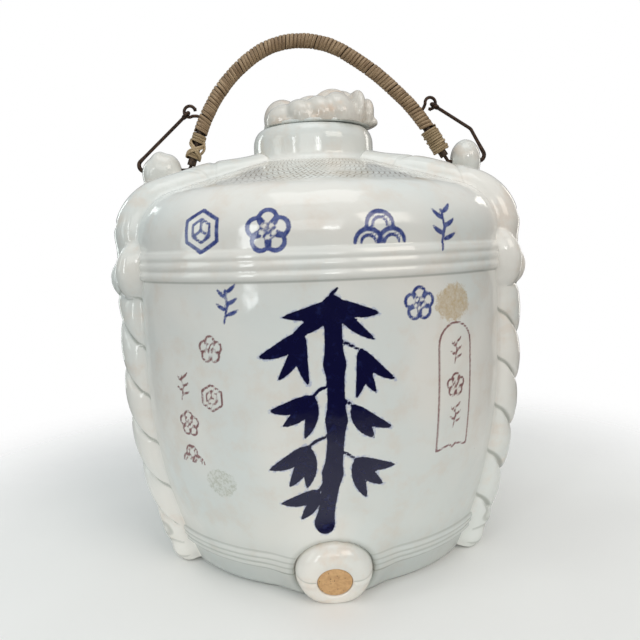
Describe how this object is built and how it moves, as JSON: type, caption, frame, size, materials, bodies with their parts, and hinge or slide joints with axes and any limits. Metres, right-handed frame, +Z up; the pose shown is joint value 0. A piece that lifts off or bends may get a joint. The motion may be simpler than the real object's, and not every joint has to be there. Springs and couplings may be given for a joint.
{
  "type": "ceramic sake jug",
  "caption": "Roped barrel-shaped porcelain sake jug with a knotted lid, a corked tap boss and a swinging rattan bail handle on wire hangers.",
  "frame": {"origin": "middle of the foot, on the surface that the jug stands on", "axes": "+Z up, the front with the tap boss faces -Y, the bail handle spans X"},
  "size_m": [0.265, 0.265, 0.3476],
  "materials": {
    "porcelain": "glossy clear glaze over white porcelain, cool grey where it pools, with blue and iron red painting under it",
    "cork": "cut cork face, matt, with fine pores",
    "cane": "dark aged cane, matt",
    "rattan": "split rattan strip, satin, dark between the turns",
    "rattan_lashing": "older and darker split rattan, satin",
    "iron_wire": "dark rusty iron wire, rough"
  },
  "bodies": {
    "jar": {"jar_body": "porcelain", "jar_shoulder": "porcelain", "jar_neck": "porcelain", "spigot_boss": "porcelain", "front_rope_left": "porcelain", "front_rope_right": "porcelain", "back_rope_left": "porcelain", "back_rope_right": "porcelain", "ear_left": "porcelain", "ear_right": "porcelain"},
    "lid": {"lid_disc": "porcelain", "lid_knot": "porcelain"},
    "cork": {"cork_bung": "cork"},
    "bail": {"handle_core": "cane", "rattan_wrap": "rattan", "binding_left": "rattan_lashing", "binding_right": "rattan_lashing", "eye_left": "iron_wire", "eye_right": "iron_wire", "hanger_left": "iron_wire", "hanger_right": "iron_wire"}
  },
  "joints": [
    {"name": "lid_lift", "type": "slide", "parent": "jar", "child": "lid", "axis": [0, 0, 1], "range_m": [0, 0.01]},
    {"name": "cork_pull", "type": "slide", "parent": "jar", "child": "cork", "axis": [0, -0.9613, -0.2756], "range_m": [0, 0.018]},
    {"name": "bail_swing", "type": "hinge", "parent": "jar", "child": "bail", "pos_m": [0, 0, 0.258], "axis": [1, 0, 0], "range_deg": [-78, 78]}
  ]
}
